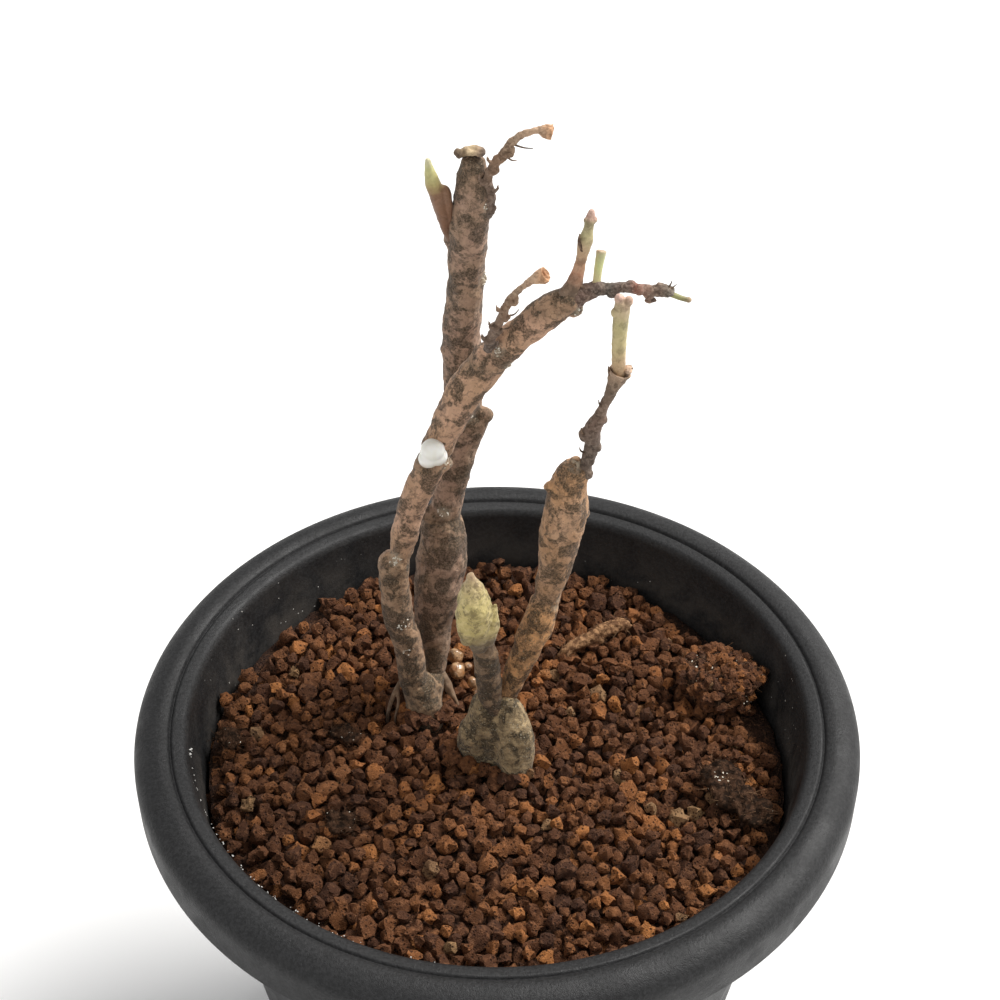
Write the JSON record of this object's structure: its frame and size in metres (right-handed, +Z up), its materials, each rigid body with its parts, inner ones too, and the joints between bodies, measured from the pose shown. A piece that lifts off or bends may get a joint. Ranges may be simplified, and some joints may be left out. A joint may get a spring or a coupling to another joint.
{
  "type": "potted euphorbia",
  "caption": "Small caudiciform euphorbia with bare mottled stems and green shoots, in clay granules in a round black nursery pot with a rolled lip.",
  "frame": {"origin": "centre of the pot's foot ring, on the surface that it stands on", "axes": "+Z up along the pot's axis; -Y is the front, with the swollen base nearest; the stems arch towards +X"},
  "size_m": [0.09, 0.09, 0.1494],
  "materials": {
    "pot_plastic": "matte moulded plastic with a fine grain",
    "clay_granules": "rough, porous, reddish-brown baked-clay granules",
    "bound_peat": "rough peat, fibre and clay grains",
    "root_fibre": "dark matted root fibre",
    "dark_scrap": "rough dark scraps",
    "amber_grain": "translucent amber, softly glossy",
    "mottled_bark": "pinkish tan succulent bark with dark mottling",
    "grey_bark": "grey-green corky bark",
    "pale_root": "pale tan root skin",
    "green_shoot": "yellow-green young tissue, soft and matte",
    "dried_stalk": "dry brown stalk with scaly joints",
    "dried_latex": "ivory dried latex, smooth"
  },
  "bodies": {
    "root": {"pot": "pot_plastic", "soil_bed": "clay_granules", "bark_mound": "bound_peat", "fibrous_clod": "root_fibre", "small_clod_left": "dark_scrap", "small_clod_middle": "dark_scrap", "small_clod_front": "dark_scrap", "golden_grain_1": "amber_grain", "golden_grain_2": "amber_grain", "golden_grain_3": "amber_grain", "golden_grain_4": "amber_grain", "golden_grain_5": "amber_grain", "left_stem": "mottled_bark", "tall_stem": "mottled_bark", "right_stem": "mottled_bark", "rear_crown": "grey_bark", "front_caudex": "grey_bark", "stub_stem": "grey_bark", "crown_root": "pale_root", "thin_root": "pale_root", "stem_crown": "pale_root", "green_bud": "green_shoot", "right_shoot": "green_shoot", "side_bud": "green_shoot", "pale_shoot": "green_shoot", "twig_tip": "green_shoot", "upright_shoot": "green_shoot", "right_spur": "dried_stalk", "top_peduncle": "dried_stalk", "middle_peduncle": "dried_stalk", "side_twig": "dried_stalk", "latex_drop": "dried_latex"}
  },
  "joints": []
}
